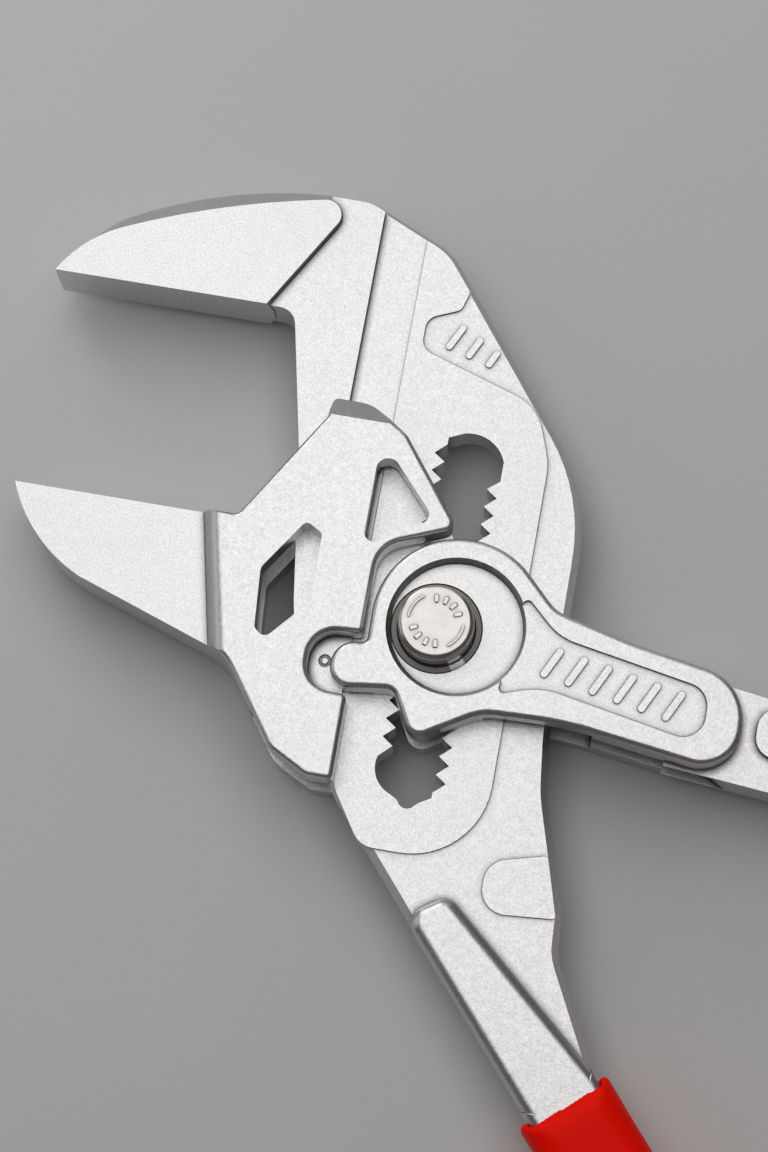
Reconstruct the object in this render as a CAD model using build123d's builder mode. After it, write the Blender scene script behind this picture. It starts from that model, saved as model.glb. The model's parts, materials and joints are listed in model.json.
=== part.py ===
"""Push-button slip-joint pliers with smooth parallel jaws.

The tool lies flat. The origin is on the axis of the joint bolt, at the bolt's underside.
+X runs along the gripping faces towards the handles, +Y is the way the lower jaw closes,
and +Z is the joint bolt's axis, up to the push button. All sizes are in millimetres.
"""

import os
from math import cos, radians, sin

from build123d import *

os.makedirs("parts", exist_ok=True)

# Heights, all measured symmetrically about the tool's middle plane
TOOL = 17.5  # over the cheeks of the lever and of the sliding jaw
MID = TOOL / 2
BLADE = 10.5  # gripping ends of both jaws
LAND = 8.0  # guide land of the arm, left of the slide's shoulder
BOSS = 6.3  # raised field around the toothed slot
STRIP = 6.0  # milled strip beside the shoulder
FORGED = 5.6  # plain forged surface of the arm
RIB = 9.6  # handle ribs
TANG = 7.6  # handle webs beside the ribs

# Sliding jaw
JAW_GAP = LAND + 0.2  # between the jaw's cheeks
FACE_FIXED = 48.2  # y of the fixed gripping face
FACE_MOVING = 12.6  # y of the moving gripping face at rest
SHOULDER_X = -20.3  # the arm's guide shoulder
STRIP_X = -12.8  # the milled strip's other edge
TONGUE_PLAY = 0.1

# Toothed slot: saw teeth of one pitch, ten notches up and eight down
PITCH = 2.9
TIP_X = 5.5
PEAK_X = 3.7
SHORT_FLANK = 1.27
LONG_FLANK = PITCH - SHORT_FLANK

# Joint bolt and button
LEVER_GAP = BOSS + 0.4
PRESS = 2.9  # travel of the button
JOURNAL_R = 5.4
CORE_R = 3.5
RUNNING = 0.06
BUTTON_R = 5.95
BUTTON_TOP = 21.6
SKIRT_LOW = 16.1
RECESS_Z = 16.0
RING_SEAT_R = 7.2
RING_SEAT_DEPTH = 0.9
SKIRT_WALL = 0.85
LEDGE_Z = SKIRT_LOW - PRESS - 0.1
BUTTON_CEILING = 19.4
WIRE = 0.6
SPRING_R = 4.35

MARK_LEAN = 64  # slant of the plain raised marks

# Handles: start of the grip, heading in degrees, length of the bar, turn of its bow, widths
ARM_BAR = dict(x=32.2, y=-68.8, heading=-49, length=97, turn=8, wide=12.6, narrow=11.0)
LEVER_BAR = dict(x=74.0, y=-11.6, heading=-9.5, length=97, turn=-7, wide=12.6, narrow=11.0)
GRIP_WALL = 1.5
GRIP_TALL = 13.6
GRIP_EDGE = 4.6


def outline(*corners):
    """A flat shape whose corners are (x, y, radius)."""
    with BuildSketch(Plane.XY) as shape:
        with BuildLine():
            FilletPolyline(*[c[:2] for c in corners], radius=[c[2] for c in corners], close=True)
        make_face()
    return shape.sketch


def bar_corners(x, y, heading, length, turn, wide, narrow, wall=0.0, back=0.0):
    """Corners of a gently bowed bar, walked along one side and back along the other."""
    first, last = radians(heading), radians(heading + turn)
    middle = (first + last) / 2
    taper = (wide - narrow) / length / 2
    half = [wide / 2 + back * taper + wall, (wide + narrow) / 4 + wall, narrow / 2 + wall]
    start = (x - back * cos(first), y - back * sin(first))
    knee = (x + length / 2 * cos(first), y + length / 2 * sin(first))
    reach = length / 2 + wall
    end = (knee[0] + reach * cos(last), knee[1] + reach * sin(last))
    bow = 0.4 * length / abs(radians(turn))
    sides = []
    for side in (1, -1):
        for (px, py), angle, h, r in (
            (start, first, half[0], 0),
            (knee, middle, half[1], bow),
            (end, last, half[2], 0.8 * half[2]),
        ):
            sides.append((px - side * h * sin(angle), py + side * h * cos(angle), r))
    return sides[:3] + sides[:2:-1]


def middle_plane(height=0.0):
    return Plane.XY.offset(MID + height)


def top_and_bottom(part):
    """The outline edges of a plate's two flat faces."""
    faces = part.faces().filter_by(Axis.Z).sort_by(Axis.Z)
    return faces[0].edges() + faces[-1].edges()


# ---------------------------------------------------------------- fixed jaw and its handle

BACK_BEVEL = 2.9  # how far the blade's back stands out at the parting line
STEP_DRAFT = 0.9  # how far the blade's inner step leans out over the same height
PARTING = 1.6  # half height of the forging's parting band


def blade_section(rise, draft):
    """The fixed jaw's plan: rise pushes its curved back outwards, draft its inner step."""
    tip = (-70.8, FACE_FIXED)
    back_middle = (-61.5, 57.0 + rise)
    back_right = (-29.8, 67.1 + 0.7 * rise)
    corner = (-27.5 + 0.87 * draft, 66.0)
    step_top = (-27.6 + 0.87 * draft, 63.0 - 0.5 * draft)
    step_foot = (-36.2 + 1.15 * draft, FACE_FIXED)
    with BuildSketch(Plane.XY) as shape:
        with BuildLine():
            ThreePointArc(back_right, corner, step_top)
            Polyline(step_top, step_foot, tip)
            ThreePointArc(tip, (-67.2, 53.0 + 0.55 * rise), back_middle)
            ThreePointArc(back_middle, (-45.4, 63.2 + 1.15 * rise), back_right)
        make_face()
    return shape.sketch


with BuildPart() as blade:
    for height in (-BLADE / 2, -PARTING, PARTING, BLADE / 2):
        flat_face = abs(height) == BLADE / 2
        with BuildSketch(middle_plane(height)):
            add(blade_section(0, 0) if flat_face else blade_section(BACK_BEVEL, STEP_DRAFT))
    loft(ruled=True)

ARM_LEFT = [
    (-11.6, -27.5, 6),
    (-22.8, -2.0, 25),
    (-26.9, 25.5, 60),
    (-31.9, 48.4, 3.0),
    (-36.4, 48.4, 0),
    (-40.0, 60.0, 0),
]
ARM_TOP = [(-31.0, 69.2, 0), (-22.5, 69.2, 9), (-8.4, 62.8, 10)]
EDGE_IN = 1.1  # the plate's forged edge: inwards on the face, and down the side
EDGE_DOWN = 2.0

with BuildPart() as arm_plate:
    with BuildSketch(middle_plane()):
        arm_plan = outline(
            *ARM_TOP,
            (19.9, 26.6, 32),
            (20.1, -13.0, 20),
            (21.2, -22.0, 20),
            (26.6, -39.8, 6),
            (26.9, -46.2, 8),
            (35.6, -63.2, 0),
            (26.1, -71.4, 0),
            *ARM_LEFT,
        )
        add(arm_plan)
    extrude(amount=FORGED / 2, both=True)
    for face in arm_plate.faces().filter_by(Axis.Z):
        chamfer(face.edges(), EDGE_IN, EDGE_DOWN, reference=face)

BOSS_OUTLINE = [
    (-29.0, 68.2, 0),
    (-22.8, 68.2, 8),
    (-9.1, 62.0, 9),
    (-4.5, 56.2, 0.6),
    (-5.4, 53.0, 1.5),
    (-10.6, 50.8, 2.5),
    (-10.6, 45.6, 2.5),
    (9.4, 39.2, 8),
    (12.6, 30.0, 10),
    (12.6, -34.9, 12.5),
    (-6.0, -34.9, 4),
    (-11.0, -27.3, 5),
    (-22.5, -2.0, 25),
    (-26.7, 25.5, 60),
    (-31.7, 48.4, 3.0),
    (-36.4, 48.4, 0),
]


def slot_teeth(side, lowest, highest):
    """Points of one toothed side of the slot, from its top down."""
    above, below = (LONG_FLANK, SHORT_FLANK) if side < 0 else (SHORT_FLANK, LONG_FLANK)
    points = [(side * PEAK_X, highest * PITCH + above)]
    for notch in range(highest, lowest - 1, -1):
        tip_y = notch * PITCH
        points += [(side * TIP_X, tip_y), (side * PEAK_X, tip_y - below)]
    return points


LEFT_TEETH = slot_teeth(-1, lowest=-6, highest=10)
RIGHT_TEETH = slot_teeth(1, lowest=-8, highest=8)

with BuildSketch() as slot:
    with BuildLine():
        Polyline(*LEFT_TEETH)
        Line(LEFT_TEETH[-1], (-5.7, -20.6))
        ThreePointArc((-5.7, -20.6), (-5.4, -23.8), (-3.4, -25.9))
        Polyline((-3.4, -25.9), (-1.6, -26.8), (-1.2, -27.4))
        ThreePointArc((-1.2, -27.4), (0.0, -28.0), (1.2, -27.4))
        Polyline((1.2, -27.4), (1.8, -26.8), (3.7, -25.7), RIGHT_TEETH[-1])
        Polyline(*RIGHT_TEETH)
        Polyline(RIGHT_TEETH[0], (5.6, 26.0), (5.6, 29.2))
        ThreePointArc((5.6, 29.2), (3.2, 32.2), (-1.2, 32.9))
        Polyline((-1.2, 32.9), (-3.7, 31.8), LEFT_TEETH[0])
    make_face()

ARM_RIB = [
    (2.5, -44.3, 2.8),
    (8.9, -40.1, 2.3),
    (35.6, -63.3, 0),
    (26.2, -71.3, 0),
]
RIB_ROUND = 1.8

with BuildPart() as arm_rib:
    with BuildSketch(middle_plane()):
        add(outline(*ARM_RIB))
        add(outline(*bar_corners(**ARM_BAR, back=3)))
    extrude(amount=RIB / 2, both=True)
    fillet(top_and_bottom(arm_rib), RIB_ROUND)

with BuildPart() as arm:
    add(arm_plate.part)
    with BuildSketch(middle_plane()):
        add(outline(*BOSS_OUTLINE))
    extrude(amount=BOSS / 2, both=True)
    with BuildSketch(middle_plane()):
        add(outline(*BOSS_OUTLINE))
        with Locations((SHOULDER_X, 0)):
            Rectangle(100, 200, align=(Align.MAX, Align.CENTER), mode=Mode.INTERSECT)
    extrude(amount=LAND / 2, both=True)
    add(blade.part)
    # The milled strip runs the whole length of the guide, on both faces
    for side in (-1, 1):
        with Locations((SHOULDER_X, 18, MID + side * STRIP / 2)):
            Box(
                STRIP_X - SHOULDER_X,
                120,
                BOSS,
                align=(Align.MIN, Align.CENTER, Align.MIN if side > 0 else Align.MAX),
                mode=Mode.SUBTRACT,
            )
    add(arm_rib.part)
    # Wear pad beside the rib
    with BuildSketch(middle_plane()):
        add(outline((13.8, -33.9, 3.8), (22.9, -31.5, 0.5), (25.7, -40.9, 0.5), (13.8, -41.9, 3.8)))
    extrude(amount=BOSS / 2, both=True)
    # Generic opening scale, in place of a size mark
    for tick in range(3):
        with BuildSketch(middle_plane()):
            with Locations(Location((-5.4 + 3.2 * tick, 48.4 - 1.3 * tick), MARK_LEAN)):
                SlotOverall(4.8 - 0.8 * tick, 1.0)
        extrude(amount=BOSS / 2, both=True)
    add(slot.sketch.moved(Location((0, 0, MID))))
    extrude(amount=BLADE, both=True, mode=Mode.SUBTRACT)

arm.part.label = "fixed_jaw_arm"
export_step(arm.part, "parts/fixed_jaw_arm.step")

# ---------------------------------------------------------------- sliding jaw

# Where the cheeks rise out of the blade: foot of the step, and the way it runs
STEP_FOOT = (-39.6, FACE_MOVING)
STEP_WAY = Vector(0.22, -0.975, 0)
STEP_RUN = 3.0
BLADE_BACK = (-56.8, -0.9)  # the blade's lower edge is straight from here
BLADE_HEEL = (-32.0, -9.3)  # to here, where the cheeks turn down
CHEEK_END_X = -41.0  # the cheeks' plan runs a little past their step, which trims them
TOP_BEVEL_Y = 30.9
TOP_BEVEL_SLOPE = 0.8
SOCKET_MARK = (-16.4, -7.4)


def on_blade_edge(x):
    """The point at x on the straight part of the blade's lower edge."""
    along = (x - BLADE_BACK[0]) / (BLADE_HEEL[0] - BLADE_BACK[0])
    return (x, BLADE_BACK[1] + along * (BLADE_HEEL[1] - BLADE_BACK[1]))


with BuildPart() as jaw:
    with BuildSketch(middle_plane()):
        jaw_plan = outline(
            (CHEEK_END_X, FACE_MOVING, 0),
            (-33.8, FACE_MOVING, 1.5),
            (-22.8, 30.6, 1.2),
            (-22.4, 34.4, 0.9),
            (-16.6, 34.3, 5),
            (-9.8, 29.6, 3),
            (0.6, 16.0, 1.5),
            (-11.1, 11.3, 5),
            (-11.1, -2.9, 0.9),
            (-18.9, -3.3, 4.4),
            (-18.9, -12.7, 4.4),
            (-11.8, -12.9, 0.9),
            (-11.7, -26.4, 0.9),
            (-15.8, -26.4, 3),
            (-22.1, -23.1, 4),
            (*BLADE_HEEL, 10),
            (*on_blade_edge(CHEEK_END_X), 0),
        )
        add(jaw_plan)
    extrude(amount=TOOL / 2, both=True)
    fillet(top_and_bottom(jaw).filter_by_position(Axis.X, CHEEK_END_X + 0.1, 10), 0.8)
    # The cheeks fall to the blade's thickness in a steep step with a rounded top
    step_plane = Plane(
        origin=Vector(*STEP_FOOT, MID) - STEP_WAY * 2,
        x_dir=(-STEP_WAY.Y, STEP_WAY.X, 0),
        z_dir=STEP_WAY,
    )
    with BuildSketch(step_plane):
        for side in (-1, 1):
            with BuildLine():
                Polyline((0.9, side * 7.1), (0, side * BLADE / 2), (-5, side * BLADE / 2), (-5, side * 9))
                Polyline((-5, side * 9), (STEP_RUN, side * 9), (STEP_RUN, side * TOOL / 2))
                ThreePointArc((STEP_RUN, side * TOOL / 2), (1.7, side * 8.25), (0.9, side * 7.1))
            make_face()
    extrude(amount=30, mode=Mode.SUBTRACT)
    # The cheeks' top ends are bevelled towards the fixed jaw
    with BuildSketch(Plane.YZ.offset(-30)):
        for side in (-1, 1):
            with BuildLine():
                Polyline(
                    (TOP_BEVEL_Y, MID + side * TOOL / 2),
                    (TOP_BEVEL_Y + 5, MID + side * (TOOL / 2 - 5 * TOP_BEVEL_SLOPE)),
                    (TOP_BEVEL_Y + 5, MID + side * (TOOL / 2 + 1)),
                    (TOP_BEVEL_Y, MID + side * (TOOL / 2 + 1)),
                    close=True,
                )
            make_face()
    extrude(amount=25, mode=Mode.SUBTRACT)
    # Windows, cut before the tongues so that these show through them
    with BuildSketch(middle_plane()):
        front_window = outline(
            (-28.6, 4.6, 2.0),
            (-22.9, 13.2, 1.0),
            (-20.1, 11.6, 1.0),
            (-20.1, 0.4, 1.8),
            (-26.0, -6.4, 1.3),
            (-27.8, -5.0, 1.3),
        )
        add(front_window)
        add(outline((-13.7, 28.4, 1.9), (-3.4, 16.9, 1.5), (-13.7, 10.4, 1.5)))
    extrude(amount=TOOL, both=True, mode=Mode.SUBTRACT)
    # Room for the arm over the jaw's whole travel
    with BuildSketch(middle_plane()):
        arm_room = outline(
            (-34.6, 60.0, 0),
            (-34.6, FACE_MOVING, 0),
            (-32.5, 9.7, 1),
            (-29.9, 1.4, 30),
            (-25.0, -27.0, 0),
            (-25.0, -60.0, 0),
            (20.0, -60.0, 0),
            (20.0, 60.0, 0),
        )
        add(arm_room)
    extrude(amount=JAW_GAP / 2, both=True, mode=Mode.SUBTRACT)
    # Guide tongues that run in the milled strips
    tongue = outline(
        (SHOULDER_X + TONGUE_PLAY, -22.0, 1),
        (SHOULDER_X + TONGUE_PLAY, 31.6, 1),
        (STRIP_X - TONGUE_PLAY, 29.2, 1),
        (STRIP_X - TONGUE_PLAY, -24.6, 1),
    )
    for side in (-1, 1):
        with BuildSketch(middle_plane(side * (STRIP / 2 + TONGUE_PLAY))):
            add(tongue)
        extrude(amount=side * (JAW_GAP / 2 - STRIP / 2 - TONGUE_PLAY + 0.1))
    # Punched ring mark in the socket's floor
    for side in (-1, 1):
        with BuildSketch(middle_plane(side * (JAW_GAP / 2 + 0.1))):
            with Locations(SOCKET_MARK):
                Circle(1.05)
                Circle(0.45, mode=Mode.SUBTRACT)
        extrude(amount=-side * 0.4, mode=Mode.SUBTRACT)
    # Gripping end, its inner corner cut back to clear the fixed jaw's neck
    with BuildSketch(middle_plane()):
        with BuildLine():
            Polyline(
                BLADE_BACK,
                on_blade_edge(-36.0),
                (-33.0, -8.0),
                (-33.0, 10.4),
                (-34.8, FACE_MOVING),
                (-70.0, FACE_MOVING),
            )
            ThreePointArc((-70.0, FACE_MOVING), (-65.1, 5.0), BLADE_BACK)
        make_face()
    extrude(amount=BLADE / 2, both=True)

jaw.part.label = "sliding_jaw"
export_step(jaw.part, "parts/sliding_jaw.step")

# ---------------------------------------------------------------- lever

HEAD_LEFT = -10.5
HEAD_TOP = 14.7
HEAD_R = 13.5
NOSE_R = 3.8
RECESS_CENTRE = (3.1, 0.5)
RECESS_R = 11.0
PANEL_DEPTH = 0.45
PANEL_BARS = 6

with BuildPart() as lever:
    # Head: two cheeks around the arm, a nose on the left and a heel below
    with BuildSketch(middle_plane()):
        head_plan = outline(
            (8.9, HEAD_TOP, HEAD_R),
            (HEAD_LEFT, HEAD_TOP, HEAD_R),
            (HEAD_LEFT + 0.3, -4.3, 1.0),
            (-15.2, -4.3, NOSE_R),
            (-15.2, -12.1, 0.85 * NOSE_R),
            (-4.9, -10.7, 1.8),
            (-0.8, -18.2, 2.4),
            (9.2, -12.1, 9),
            (22.0, -11.6, 60),
            (48.9, -15.3, 6.2),
            (48.9, -0.4, 8),
            (30.0, 2.7, 80),
            (17.9, 5.7, 6),
        )
        add(head_plan)
    extrude(amount=TOOL / 2, both=True)
    fillet(top_and_bottom(lever), 0.9)
    # Tang, its rib and the handle under the grip
    with BuildSketch(middle_plane()):
        add(outline((38.0, 0.6, 0), (56.0, -1.9, 40), (73.0, -5.1, 0), (71.0, -17.4, 0), (38.0, -14.6, 0)))
    extrude(amount=TANG / 2, both=True)
    with BuildSketch(middle_plane()):
        add(outline((51.4, -2.6, 3.2), (51.4, -9.8, 3.2), (71.0, -17.3, 0), (73.0, -5.2, 0)))
        add(outline(*bar_corners(**LEVER_BAR, back=3)))
    extrude(amount=RIB / 2, both=True)
    # Room for the arm, wide enough for the lever's whole swing
    with BuildSketch(middle_plane()):
        swing_room = outline(
            (-30.0, 40.0, 0),
            (-5.0, 40.0, 0),
            (31.0, 0.0, 20),
            (39.5, -10.5, 20),
            (62.0, -23.5, 0),
            (-30.0, -30.0, 0),
        )
        add(swing_room)
    extrude(amount=LEVER_GAP / 2, both=True, mode=Mode.SUBTRACT)
    # The nose is thinner inside, to pass over the sliding jaw's tongues
    with BuildSketch(middle_plane()):
        with Locations((-8.0, 0)):
            Rectangle(12, 14, align=(Align.MAX, Align.MAX))
    extrude(amount=JAW_GAP / 2 + 0.2, both=True, mode=Mode.SUBTRACT)
    # Its lower edge is relieved inside, to close over the rib of the arm's handle
    with BuildSketch(middle_plane()):
        with Locations((18, -8.6)):
            Rectangle(17, 8, align=(Align.CENTER, Align.MAX))
    extrude(amount=RIB / 2 + 0.3, both=True, mode=Mode.SUBTRACT)
    # Round recess around the button
    with BuildSketch(Plane.XY.offset(TOOL)):
        with Locations(RECESS_CENTRE):
            Circle(RECESS_R)
    extrude(amount=RECESS_Z - TOOL, taper=25, mode=Mode.SUBTRACT)
    # Long panel, sunk into the cheek, with plain raised bars instead of a mark
    with BuildSketch(Plane.XY.offset(TOOL)):
        panel = outline(
            (12.8, 7.4, 0.8),
            (19.0, 1.6, 9),
            (43.2, -2.7, 3.6),
            (43.2, -11.4, 3.6),
            (17.5, -6.7, 12),
            (11.0, -9.0, 0.8),
        )
        add(panel)
    extrude(amount=-PANEL_DEPTH, mode=Mode.SUBTRACT)
    with BuildSketch(Plane.XY.offset(TOOL - PANEL_DEPTH - 0.1)):
        for bar in range(PANEL_BARS):
            with Locations(Location((18.6 + 3.9 * bar, -2.6 - 0.7 * bar), MARK_LEAN)):
                SlotOverall(5.4, 1.1)
    extrude(amount=PANEL_DEPTH)
    # Bores for the joint bolt
    with BuildSketch(Plane.XY):
        Circle(JOURNAL_R + RUNNING)
    extrude(amount=MID, mode=Mode.SUBTRACT)
    with BuildSketch(middle_plane()):
        Circle(CORE_R + RUNNING)
    extrude(amount=MID, mode=Mode.SUBTRACT)
    with BuildSketch(Plane.XY.offset(LEDGE_Z)):
        Circle(BUTTON_R + RUNNING)
    extrude(amount=TOOL, mode=Mode.SUBTRACT)
    with BuildSketch(Plane.XY.offset(RECESS_Z - RING_SEAT_DEPTH)):
        Circle(RING_SEAT_R)
    extrude(amount=1, mode=Mode.SUBTRACT)

lever.part.label = "lever"
export_step(lever.part, "parts/lever.step")

# ---------------------------------------------------------------- joint bolt and button

TOOTH_TIP = TIP_X - 0.15
TOOTH_BOTTOM = MID - BOSS / 2 - 0.1
TOOTH_TOP = TOOTH_BOTTOM + PRESS - 0.1
CORE_TOP = 20.6

with BuildPart() as bolt:
    with BuildSketch():
        Circle(JOURNAL_R)
    extrude(amount=TOOTH_BOTTOM)
    chamfer(bolt.edges().group_by(Axis.Z)[0], 0.4)
    with BuildSketch(Plane.XY.offset(TOOTH_BOTTOM)):
        Circle(CORE_R)
        for side in (-1, 1):
            with BuildLine():
                Polyline(
                    (side * TOOTH_TIP, 0),
                    (side * (CORE_R - 0.3), -side * 1.75),
                    (0, 0),
                    (side * (CORE_R - 0.3), side * 1.38),
                    close=True,
                )
            make_face()
    extrude(amount=TOOTH_TOP - TOOTH_BOTTOM)
    with BuildSketch(Plane.XY.offset(TOOTH_BOTTOM)):
        Circle(CORE_R)
    extrude(amount=CORE_TOP - TOOTH_BOTTOM)

bolt.part.label = "joint_bolt"
export_step(bolt.part, "parts/joint_bolt.step")

with BuildPart() as button:
    with BuildSketch(Plane.XZ):
        with BuildLine():
            Polyline(
                (0, CORE_TOP),
                (CORE_R, CORE_TOP),
                (CORE_R, BUTTON_CEILING),
                (BUTTON_R - SKIRT_WALL, BUTTON_CEILING),
                (BUTTON_R - SKIRT_WALL, SKIRT_LOW),
                (BUTTON_R, SKIRT_LOW),
                (BUTTON_R, 20.3),
            )
            ThreePointArc((BUTTON_R, 20.3), (5.6, 20.95), (4.8, 21.3))
            Polyline((4.8, 21.3), (2.4, BUTTON_TOP), (0, BUTTON_TOP), (0, CORE_TOP))
        make_face()
    revolve(axis=Axis.Z)

button.part.label = "push_button"
export_step(button.part, "parts/push_button.step")

with BuildPart() as spring:
    coil_low = LEDGE_Z + WIRE / 2 + 0.05
    coil_high = BUTTON_CEILING - WIRE / 2 - 0.05
    with BuildLine() as coil:
        Helix(pitch=(coil_high - coil_low) / 3.5, height=coil_high - coil_low, radius=SPRING_R,
              center=(0, 0, coil_low))
    with BuildSketch(Plane(origin=coil.line @ 0, z_dir=coil.line % 0)):
        Circle(WIRE / 2)
    sweep(path=coil.line, is_frenet=True)

spring.part.label = "button_spring"
export_step(spring.part, "parts/button_spring.step")

with BuildPart() as ring:
    with BuildSketch(Plane.XY.offset(RECESS_Z - RING_SEAT_DEPTH + 0.02)):
        Circle(RING_SEAT_R - 0.05)
        Circle(BUTTON_R + 0.1, mode=Mode.SUBTRACT)
        with Locations(Location((0, 0), -50)):
            Rectangle(20, 2.6, align=(Align.MIN, Align.CENTER), mode=Mode.SUBTRACT)
    extrude(amount=0.8)
    chamfer(ring.faces().sort_by(Axis.Z)[-1].edges().filter_by(GeomType.CIRCLE), 0.15)

ring.part.label = "retaining_ring"
export_step(ring.part, "parts/retaining_ring.step")

# ---------------------------------------------------------------- dipped grips

for name, bar in (("arm_grip", ARM_BAR), ("lever_grip", LEVER_BAR)):
    with BuildPart() as grip:
        with BuildSketch(middle_plane()):
            add(outline(*bar_corners(**bar, wall=GRIP_WALL, back=1.5)))
        extrude(amount=GRIP_TALL / 2, both=True)
        fillet(top_and_bottom(grip), GRIP_EDGE)
        with BuildSketch(middle_plane()):
            add(outline(*bar_corners(**bar, back=8)))
        extrude(amount=RIB / 2, both=True, mode=Mode.SUBTRACT)
    grip.part.label = name
    export_step(grip.part, f"parts/{name}.step")
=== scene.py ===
import json
import math

import bmesh
import bpy
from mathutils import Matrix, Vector, noise


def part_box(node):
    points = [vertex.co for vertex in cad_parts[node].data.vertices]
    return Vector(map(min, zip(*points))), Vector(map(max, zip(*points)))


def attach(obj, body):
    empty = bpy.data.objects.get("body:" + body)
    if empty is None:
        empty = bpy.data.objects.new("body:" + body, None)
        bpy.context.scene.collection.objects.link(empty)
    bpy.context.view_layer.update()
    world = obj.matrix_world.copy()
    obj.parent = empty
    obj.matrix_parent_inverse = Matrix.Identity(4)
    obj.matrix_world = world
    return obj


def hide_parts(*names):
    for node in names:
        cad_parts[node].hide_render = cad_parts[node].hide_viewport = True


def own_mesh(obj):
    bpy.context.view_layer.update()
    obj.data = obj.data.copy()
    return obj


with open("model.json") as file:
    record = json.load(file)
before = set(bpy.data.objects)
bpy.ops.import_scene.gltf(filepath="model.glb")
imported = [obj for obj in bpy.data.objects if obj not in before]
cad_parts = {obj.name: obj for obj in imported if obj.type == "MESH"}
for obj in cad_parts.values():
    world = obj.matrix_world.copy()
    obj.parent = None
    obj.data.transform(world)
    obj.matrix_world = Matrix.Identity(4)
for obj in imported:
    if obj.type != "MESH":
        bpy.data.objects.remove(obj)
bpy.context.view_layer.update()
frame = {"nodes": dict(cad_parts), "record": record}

MM = 0.001
NODES = frame["nodes"]
BEHAVIOUR = frame["record"]["behaviour"]
BODY_OF = {node: body for body, nodes in BEHAVIOUR["bodies"].items() for node in nodes}

# Camera and studio, in metres and degrees.
CAMERA_PLACE = (0.0264, -0.1045, 0.5009)
CAMERA_TURN = (13.443, 1.831, 10.264)
LENS_MM = 100
SENSOR_MM = 36
WORLD_TINT = (0.8, 0.85, 0.9, 1)
WORLD_STRENGTH = 0.11
FLOOR_HALF_SIDE = 1.5
FLOOR_HEIGHT = -0.2 * MM  # a hair below the plane that the tool lies on
LIGHTS = (
    # name, place, target, size, power in watts
    ("overhead_softbox", (-0.10, 0.19, 0.60), (-0.06, 0.10, 0.0), (0.66, 0.76), 2.2),
    ("left_card", (-0.55, 0.02, 0.22), (-0.03, 0.05, 0.01), (0.45, 0.40), 0.34),
    ("back_card", (0.02, 0.72, 0.26), (0.0, 0.10, 0.01), (0.70, 0.30), 0.36),
    ("left_fill", (-0.38, 0.50, 0.34), (-0.05, 0.14, 0.0), (0.30, 0.30), 0.75),
)

# Forgings: how much each CAD edge is rounded, in mm, and how their meshes are cleaned.
EDGE_ROUNDING = (("fixed_jaw_arm", 0.22), ("sliding_jaw", 0.35), ("lever", 0.3))
ROUNDING_STEPS = 3
ROUNDED_ABOVE = math.radians(28)  # flatter edges than this stay as they are
SHARP_ABOVE = math.radians(35)
FLAT_BELOW = math.radians(0.6)  # faces that turn less than this become one
SAME_POINT = 0.002 * MM
PAINTED_SHADE_REACH = 1.4 * MM  # how far from a crease the painted shade reaches

# The two small fins of the sliding jaw: the corner they stand in and the blade's faces.
FIN_X = (-41.2 * MM, -40.35 * MM)
FIN_Y = (-7.0 * MM, -3.5 * MM)
FIN_CLEARANCE = 0.05 * MM
BLADE_TOP = 14.0 * MM
BLADE_BOTTOM = 3.5 * MM

# Push button, in mm: the cap's face as (radius, depth below the top), then its skirt.
CAP_FACE = (
    (0.0, 0.42), (0.8, 0.41), (1.3, 0.38), (1.7, 0.33), (2.2, 0.29), (3.4, 0.28), (4.6, 0.28),
    (5.1, 0.30), (5.4, 0.36), (5.6, 0.47), (5.76, 0.64), (5.86, 0.95), (5.93, 1.8),
)
CAP_SHOULDER_DEPTH = 2.3
CAP_INSIDE_DEPTH = 2.2
SKIRT_WALL = 0.85
SKIRT_FOOT_WALL = 0.8
SKIRT_CHAMFER_IN = 0.2
SKIRT_CHAMFER_UP = 0.25
CAP_SHARP_ABOVE = math.radians(38)
LATHE_STEPS = 128
ARC_STEPS = 10
MARK_GROUPS = (62, 242)  # degrees: two groups of marks, opposite each other
MARKS_IN_GROUP = 4
MARK_PITCH = 24
MARK_HALF_ANGLE = 4.0
MARK_RADIUS = 3.55 * MM
MARK_LENGTH = 1.7 * MM
MARK_FOOT_DEPTH = 0.5 * MM
MARK_SECTION = (-0.5, -0.32, 0.32, 0.5)  # foot, top, top, foot, as shares of the width
LINE_ARC = (62, 118)  # degrees past each group: one thin arc between the groups
LINE_RADIUS = 4.3 * MM
LINE_WIDTH = 0.4 * MM

# Dipped grips.
SKIN_VOXEL = 0.55 * MM
SKIN_SMOOTHING = 0.5
SKIN_SMOOTHING_ROUNDS = 8
SKIN_WAVES = ((90, 1.0), (260, 0.5))  # waves per metre and their share
SKIN_WAVE_HEIGHT = 0.09
SKIN_INSET = 0.05  # keeps the waves inside the CAD box


# ---------------------------------------------------------------- camera, light and floor

def make_camera():
    data = bpy.data.cameras.new("camera")
    data.lens = LENS_MM
    data.sensor_width = SENSOR_MM
    data.clip_start = 0.01
    data.clip_end = 10
    camera = bpy.data.objects.new("camera", data)
    bpy.context.scene.collection.objects.link(camera)
    camera.location = CAMERA_PLACE
    camera.rotation_euler = [math.radians(angle) for angle in CAMERA_TURN]
    bpy.context.scene.camera = camera


def area_light(name, place, target, size, power):
    data = bpy.data.lights.new(name, "AREA")
    data.shape = "RECTANGLE"
    data.size, data.size_y = size
    data.energy = power
    lamp = bpy.data.objects.new(name, data)
    bpy.context.scene.collection.objects.link(lamp)
    lamp.location = place
    lamp.rotation_euler = (Vector(target) - Vector(place)).to_track_quat("-Z", "Y").to_euler()


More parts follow.
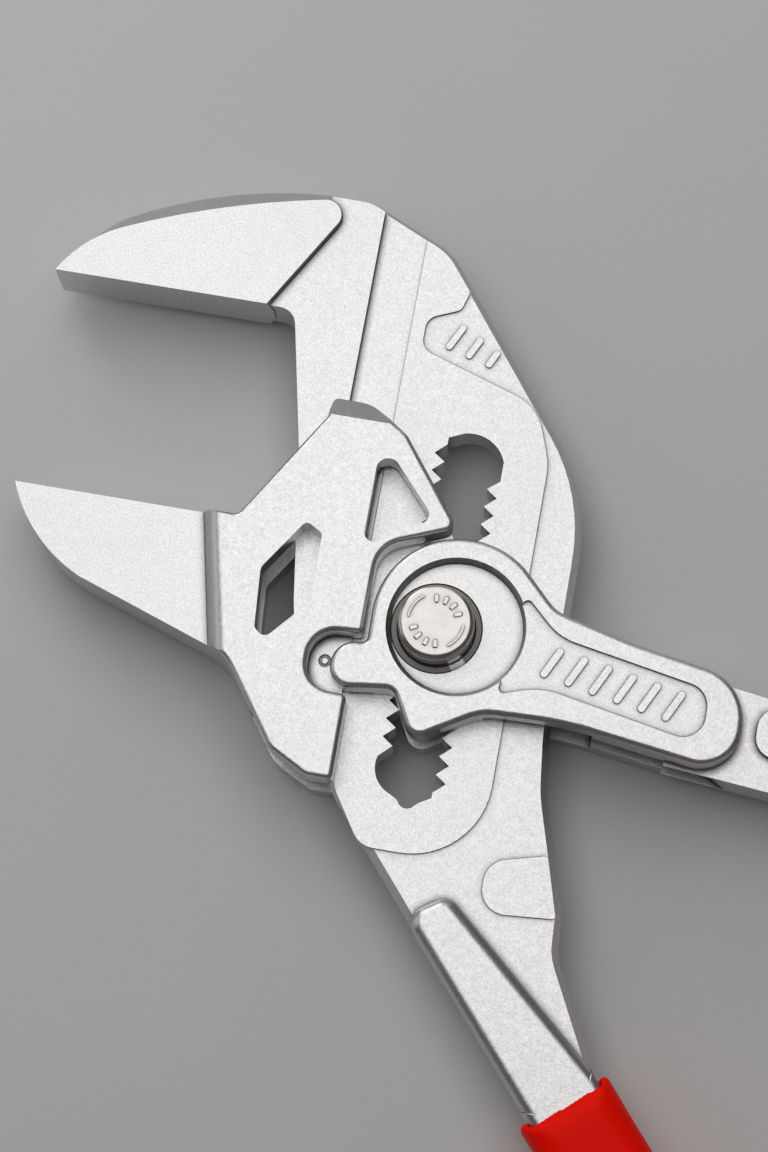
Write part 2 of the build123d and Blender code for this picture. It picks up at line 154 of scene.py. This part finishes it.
def make_light():
    for row in LIGHTS:
        area_light(*row)
    world = bpy.data.worlds.new("studio")
    bpy.context.scene.world = world
    world.use_nodes = True
    background = world.node_tree.nodes["Background"]
    background.inputs["Color"].default_value = WORLD_TINT
    background.inputs["Strength"].default_value = WORLD_STRENGTH
    bpy.context.scene.view_settings.view_transform = "Standard"


def make_floor():
    bm = bmesh.new()
    bmesh.ops.create_grid(bm, x_segments=1, y_segments=1, size=FLOOR_HALF_SIDE)
    mesh = bpy.data.meshes.new("floor")
    bm.to_mesh(mesh)
    bm.free()
    floor = bpy.data.objects.new("floor", mesh)
    bpy.context.scene.collection.objects.link(floor)
    floor.location.z = FLOOR_HEIGHT
    floor.data.materials.append(floor_material())


# ---------------------------------------------------------------- materials

class Shader:
    """A small helper that adds nodes to one material and links them."""

    def __init__(self, name):
        self.material = bpy.data.materials.new(name)
        self.material.use_nodes = True
        self.tree = self.material.node_tree
        self.surface = self.tree.nodes["Principled BSDF"]
        self.place = self.add("ShaderNodeTexCoord").outputs["Object"]

    def add(self, kind, **settings):
        node = self.tree.nodes.new(kind)
        for key, value in settings.items():
            setattr(node, key, value)
        return node

    def link(self, source, target):
        self.tree.links.new(source, target)

    def set(self, socket, value):
        self.surface.inputs[socket].default_value = value

    def drive(self, socket, source):
        self.link(source, self.surface.inputs[socket])

    def noise(self, scale, detail=2.0, stretch=None, rough=0.5):
        node = self.add("ShaderNodeTexNoise")
        node.inputs["Scale"].default_value = scale
        node.inputs["Detail"].default_value = detail
        node.inputs["Roughness"].default_value = rough
        source = self.place
        if stretch:
            mapping = self.add("ShaderNodeMapping")
            mapping.inputs["Scale"].default_value = stretch
            self.link(source, mapping.inputs["Vector"])
            source = mapping.outputs["Vector"]
        self.link(source, node.inputs["Vector"])
        return node.outputs["Fac"]

    def ramp(self, source, low, high):
        node = self.add("ShaderNodeValToRGB")
        node.color_ramp.elements[0].position = low
        node.color_ramp.elements[1].position = high
        self.link(source, node.inputs["Fac"])
        return node.outputs["Color"]

    def math(self, operation, a, b):
        node = self.add("ShaderNodeMath", operation=operation)
        for socket, value in zip(node.inputs, (a, b)):
            if isinstance(value, (int, float)):
                socket.default_value = value
            else:
                self.link(value, socket)
        return node.outputs[0]

    def spread(self, source, base, extra):
        """base where the source is 0, and extra more where it is 1."""
        return self.math("ADD", base, self.math("MULTIPLY", source, extra))

    def mix(self, factor, a, b):
        node = self.add("ShaderNodeMix", data_type="RGBA")
        self.link(factor, node.inputs[0])
        for socket, value in ((node.inputs[6], a), (node.inputs[7], b)):
            if isinstance(value, tuple):
                socket.default_value = (*value, 1)
            else:
                self.link(value, socket)
        return node.outputs[2]

    def bump(self, height, distance, under=None):
        node = self.add("ShaderNodeBump")
        node.inputs["Distance"].default_value = distance
        node.inputs["Strength"].default_value = 1.0
        self.link(height, node.inputs["Height"])
        if under is not None:
            self.link(under, node.inputs["Normal"])
        return node.outputs["Normal"]

    def painted_crease_shade(self, clean, crease_shade, reach, low, high):
        """The clean colour in the open, blended by ambient occlusion into a dark painted shade
        deep in the piece's own creases.
        """
        # painted shade: the piece's own ambient occlusion darkens the colour in creases, steps
        # and recesses
        hollow = self.add("ShaderNodeAmbientOcclusion", samples=8, only_local=True)
        hollow.inputs["Distance"].default_value = reach
        return self.mix(self.ramp(hollow.outputs["AO"], low, high), crease_shade, clean)


def floor_material():
    s = Shader("floor_paint")
    patches = s.noise(9.0, 4.0)
    s.drive("Base Color", s.mix(patches, (0.56, 0.555, 0.54), (0.62, 0.615, 0.60)))
    s.set("Roughness", 0.75)
    s.drive("Normal", s.bump(s.noise(900.0, 2.0), 0.05 * MM))
    return s.material


def forged_material():
    """Satin nickel-chrome plating over a fine-blasted forging, with painted shade darkening its
    own creases.
    """
    s = Shader("satin_forging")
    fine = s.noise(3000.0, 3.0, rough=0.65)
    coarse = s.noise(900.0, 3.0)
    cloud = s.noise(38.0, 3.0)
    plating = s.mix(s.ramp(fine, 0.34, 0.66), (0.55, 0.54, 0.535), (0.73, 0.72, 0.715))
    haze = s.math("MULTIPLY", s.ramp(cloud, 0.40, 0.72), 0.14)
    plating = s.mix(haze, plating, (0.55, 0.53, 0.51))
    # painted shade: the near-black tone blended into the plating's creases
    crease_shade = (0.030, 0.027, 0.026)
    s.drive("Base Color", s.painted_crease_shade(plating, crease_shade, PAINTED_SHADE_REACH, 0.50, 0.97))
    s.set("Metallic", 1.0)
    s.drive("Roughness", s.spread(coarse, 0.27, 0.14))
    normal = s.bump(fine, 0.035 * MM)
    s.drive("Normal", s.bump(coarse, 0.03 * MM, under=normal))
    return s.material


def machined_material(name, tone, rough):
    """Turned or ground steel with fine tool marks."""
    s = Shader(name)
    marks = s.noise(2600.0, 2.0, stretch=(0.08, 0.08, 1.0))
    s.drive("Base Color", s.mix(marks, tuple(0.75 * c for c in tone), tone))
    s.set("Metallic", 1.0)
    s.drive("Roughness", s.spread(marks, rough, 0.12))
    s.drive("Normal", s.bump(marks, 0.02 * MM))
    return s.material


def polished_material():
    """Polished plating of the button, with a faint warm haze, hairline scratches and painted
    shade in its creases.
    """
    s = Shader("polished_button")
    haze = s.noise(420.0, 3.0)
    scratches = s.noise(2200.0, 2.0, stretch=(1.0, 0.05, 0.05))
    plating = s.mix(haze, (0.62, 0.60, 0.58), (0.50, 0.46, 0.42))
    # painted shade: a dark brown tone blended in where the cap's rim and marks make creases
    crease_shade = (0.10, 0.085, 0.075)
    s.drive("Base Color", s.painted_crease_shade(plating, crease_shade, 0.8 * MM, 0.55, 0.95))
    s.set("Metallic", 1.0)
    s.drive("Roughness", s.spread(haze, 0.14, 0.12))
    s.drive("Normal", s.bump(scratches, 0.006 * MM))
    return s.material


def grip_material():
    """Dipped soft plastic: saturated red, slightly uneven, with a low sheen."""
    s = Shader("red_dip")
    cloud = s.noise(60.0, 3.0)
    pores = s.noise(1500.0, 2.0)
    s.drive("Base Color", s.mix(cloud, (0.96, 0.006, 0.0006), (1.0, 0.008, 0.0009)))
    s.drive("Roughness", s.spread(pores, 0.34, 0.16))
    s.set("Specular IOR Level", 0.05)
    normal = s.bump(cloud, 0.25 * MM)
    s.drive("Normal", s.bump(pores, 0.02 * MM, under=normal))
    return s.material


# ---------------------------------------------------------------- placing pieces

def linked(name, mesh):
    piece = bpy.data.objects.new(name, mesh)
    bpy.context.scene.collection.objects.link(piece)
    return piece


def shade_smooth(mesh):
    for face in mesh.polygons:
        face.use_smooth = True


def apply_modifiers(piece):
    """The piece's mesh as its modifiers leave it, with no material yet."""
    bpy.context.view_layer.update()
    evaluated = piece.evaluated_get(bpy.context.evaluated_depsgraph_get())
    mesh = bpy.data.meshes.new_from_object(evaluated)
    piece.modifiers.clear()
    piece.data = mesh
    mesh.materials.clear()
    return mesh


def stand_in(piece, node, material):
    """The piece is shown in place of its CAD node and moves with the same body."""
    piece.data.materials.append(material)
    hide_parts(node)
    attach(piece, BODY_OF[node])


def paint_node(node, material):
    mesh = NODES[node].data
    mesh.materials.clear()
    mesh.materials.append(material)


# ---------------------------------------------------------------- forgings

def fin_points(bm, level, side):
    """The points of a fin that stand clear of the blade's face at this level."""
    return [
        v for v in bm.verts
        if FIN_X[0] < v.co.x < FIN_X[1]
        and FIN_Y[0] < v.co.y < FIN_Y[1]
        and side * (v.co.z - level) > FIN_CLEARANCE
    ]


def grind_off_fins(bm):
    """Grind flush the two small fins that the cheeks leave on the blade's lower edge."""
    for level, side in ((BLADE_TOP, 1), (BLADE_BOTTOM, -1)):
        faces = list({face for v in fin_points(bm, level, side) for face in v.link_faces})
        edges = list({edge for face in faces for edge in face.edges})
        corners = list({v for face in faces for v in face.verts})
        bmesh.ops.bisect_plane(
            bm,
            geom=corners + edges + faces,
            dist=SAME_POINT,
            plane_co=(0, 0, level),
            plane_no=(0, 0, 1),
        )
        bmesh.ops.delete(bm, geom=fin_points(bm, level, side), context="VERTS")
        rim = [edge for edge in bm.edges if edge.is_boundary]
        bmesh.ops.holes_fill(bm, edges=rim, sides=0)


def softened(node, edge):
    """A copy of a CAD node with clean faces and small rounded edges, which stands for it."""
    mesh = NODES[node].data.copy()
    bm = bmesh.new()
    bm.from_mesh(mesh)
    bmesh.ops.remove_doubles(bm, verts=bm.verts, dist=SAME_POINT)
    if node == "sliding_jaw":
        grind_off_fins(bm)
    bmesh.ops.dissolve_limit(bm, angle_limit=FLAT_BELOW, verts=bm.verts, edges=bm.edges)
    bm.to_mesh(mesh)
    bm.free()
    piece = linked(node + "_finished", mesh)
    bevel = piece.modifiers.new("edges", "BEVEL")
    bevel.width = edge * MM
    bevel.segments = ROUNDING_STEPS
    bevel.limit_method = "ANGLE"
    bevel.angle_limit = ROUNDED_ABOVE
    bevel.miter_outer = "MITER_ARC"
    bevel.use_clamp_overlap = True
    rounded = apply_modifiers(piece)
    shade_smooth(rounded)
    rounded.set_sharp_from_angle(angle=SHARP_ABOVE)
    weighted = piece.modifiers.new("even_shading", "WEIGHTED_NORMAL")
    weighted.keep_sharp = True
    return piece


# ---------------------------------------------------------------- push button

def on_circle(radius, angle, height):
    return (radius * math.cos(angle), radius * math.sin(angle), height)


def add_lathe(bm, profile):
    """Turn a profile of (radius, height) points about Z; its ends lie on the axis."""
    turn = [2 * math.pi * k / LATHE_STEPS for k in range(LATHE_STEPS)]
    rings = []
    for radius, height in profile[1:-1]:
        rings.append([bm.verts.new(on_circle(radius, angle, height)) for angle in turn])
    for lower, upper in zip(rings, rings[1:]):
        for k in range(LATHE_STEPS):
            after = (k + 1) % LATHE_STEPS
            bm.faces.new((lower[k], lower[after], upper[after], upper[k]))
    for ring, (_, height) in ((rings[0], profile[0]), (rings[-1], profile[-1])):
        tip = bm.verts.new((0, 0, height))
        for k in range(LATHE_STEPS):
            bm.faces.new((ring[k], ring[(k + 1) % LATHE_STEPS], tip))


def add_raised_arc(bm, radius, width, first, last, foot, top):
    """A raised bar that follows a circle between two angles, narrower at its top."""
    rows = []
    for k in range(ARC_STEPS + 1):
        angle = math.radians(first + (last - first) * k / ARC_STEPS)
        row = []
        for offset, height in zip(MARK_SECTION, (foot, top, top, foot)):
            row.append(bm.verts.new(on_circle(radius + offset * width, angle, height)))
        rows.append(row)
    for low, high in zip(rows, rows[1:]):
        for k in range(4):
            after = (k + 1) % 4
            bm.faces.new((low[k], low[after], high[after], high[k]))
    bm.faces.new(rows[0])
    bm.faces.new(rows[-1])


def push_button():
    """Polished cap: dished centre, rounded rim and a ring of plain raised marks."""
    low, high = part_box("push_button")
    radius, top, foot = (high[0] - low[0]) / 2, high[2], low[2]
    inside = top - CAP_INSIDE_DEPTH * MM
    profile = [(r * MM, top - depth * MM) for r, depth in CAP_FACE]
    profile += [
        (radius, top - CAP_SHOULDER_DEPTH * MM),
        (radius, foot + SKIRT_CHAMFER_UP * MM),
        (radius - SKIRT_CHAMFER_IN * MM, foot),
        (radius - SKIRT_FOOT_WALL * MM, foot),
        (radius - SKIRT_WALL * MM, inside),
        (0.0, inside),
    ]
    bm = bmesh.new()
    add_lathe(bm, profile)
    mark_foot = top - MARK_FOOT_DEPTH
    for group in MARK_GROUPS:
        for mark in range(MARKS_IN_GROUP):
            middle = group + MARK_PITCH * (mark - (MARKS_IN_GROUP - 1) / 2)
            first, last = middle - MARK_HALF_ANGLE, middle + MARK_HALF_ANGLE
            add_raised_arc(bm, MARK_RADIUS, MARK_LENGTH, first, last, mark_foot, top)
        first, last = (group + past for past in LINE_ARC)
        add_raised_arc(bm, LINE_RADIUS, LINE_WIDTH, first, last, mark_foot, top)
    bmesh.ops.recalc_face_normals(bm, faces=bm.faces)
    mesh = bpy.data.meshes.new("push_button_cap")
    bm.to_mesh(mesh)
    bm.free()
    shade_smooth(mesh)
    mesh.set_sharp_from_angle(angle=CAP_SHARP_ABOVE)
    return linked("push_button_cap", mesh)


def coiled_spring():
    """The button's spring as its own piece, a smooth-shaded copy of its CAD mesh."""
    piece = linked("button_spring_coil", NODES["button_spring"].data.copy())
    piece.data.materials.clear()
    shade_smooth(piece.data)
    return piece


# ---------------------------------------------------------------- dipped grips

def dipped_grip(node):
    """The grip's CAD shape as a dipped skin: soft edges and a slightly uneven surface."""
    piece = linked(node + "_skin", NODES[node].data.copy())
    remesh = piece.modifiers.new("even_mesh", "REMESH")
    remesh.mode = "VOXEL"
    remesh.voxel_size = SKIN_VOXEL
    smooth = piece.modifiers.new("soft_edges", "SMOOTH")
    smooth.factor = SKIN_SMOOTHING
    smooth.iterations = SKIN_SMOOTHING_ROUNDS
    mesh = apply_modifiers(piece)
    outward = [vertex.normal.copy() for vertex in mesh.vertices]
    for vertex, normal in zip(mesh.vertices, outward):
        wave = sum(share * noise.noise(vertex.co * scale) for scale, share in SKIN_WAVES)
        vertex.co += normal * (SKIN_WAVE_HEIGHT * wave - SKIN_INSET) * MM
    shade_smooth(mesh)
    return piece


# ---------------------------------------------------------------- the scene

make_camera()
make_light()
make_floor()

FORGED = forged_material()
for node_name, edge_mm in EDGE_ROUNDING:
    stand_in(softened(node_name, edge_mm), node_name, FORGED)

paint_node("joint_bolt", machined_material("turned_steel", (0.55, 0.54, 0.53), 0.28))
stand_in(push_button(), "push_button", polished_material())
SPRING = coiled_spring()
stand_in(SPRING, "button_spring", machined_material("spring_wire", (0.35, 0.35, 0.36), 0.3))
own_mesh(SPRING)
paint_node("retaining_ring", machined_material("ring_steel", (0.16, 0.155, 0.15), 0.35))
RED = grip_material()
for node_name in ("arm_grip", "lever_grip"):
    stand_in(dipped_grip(node_name), node_name, RED)
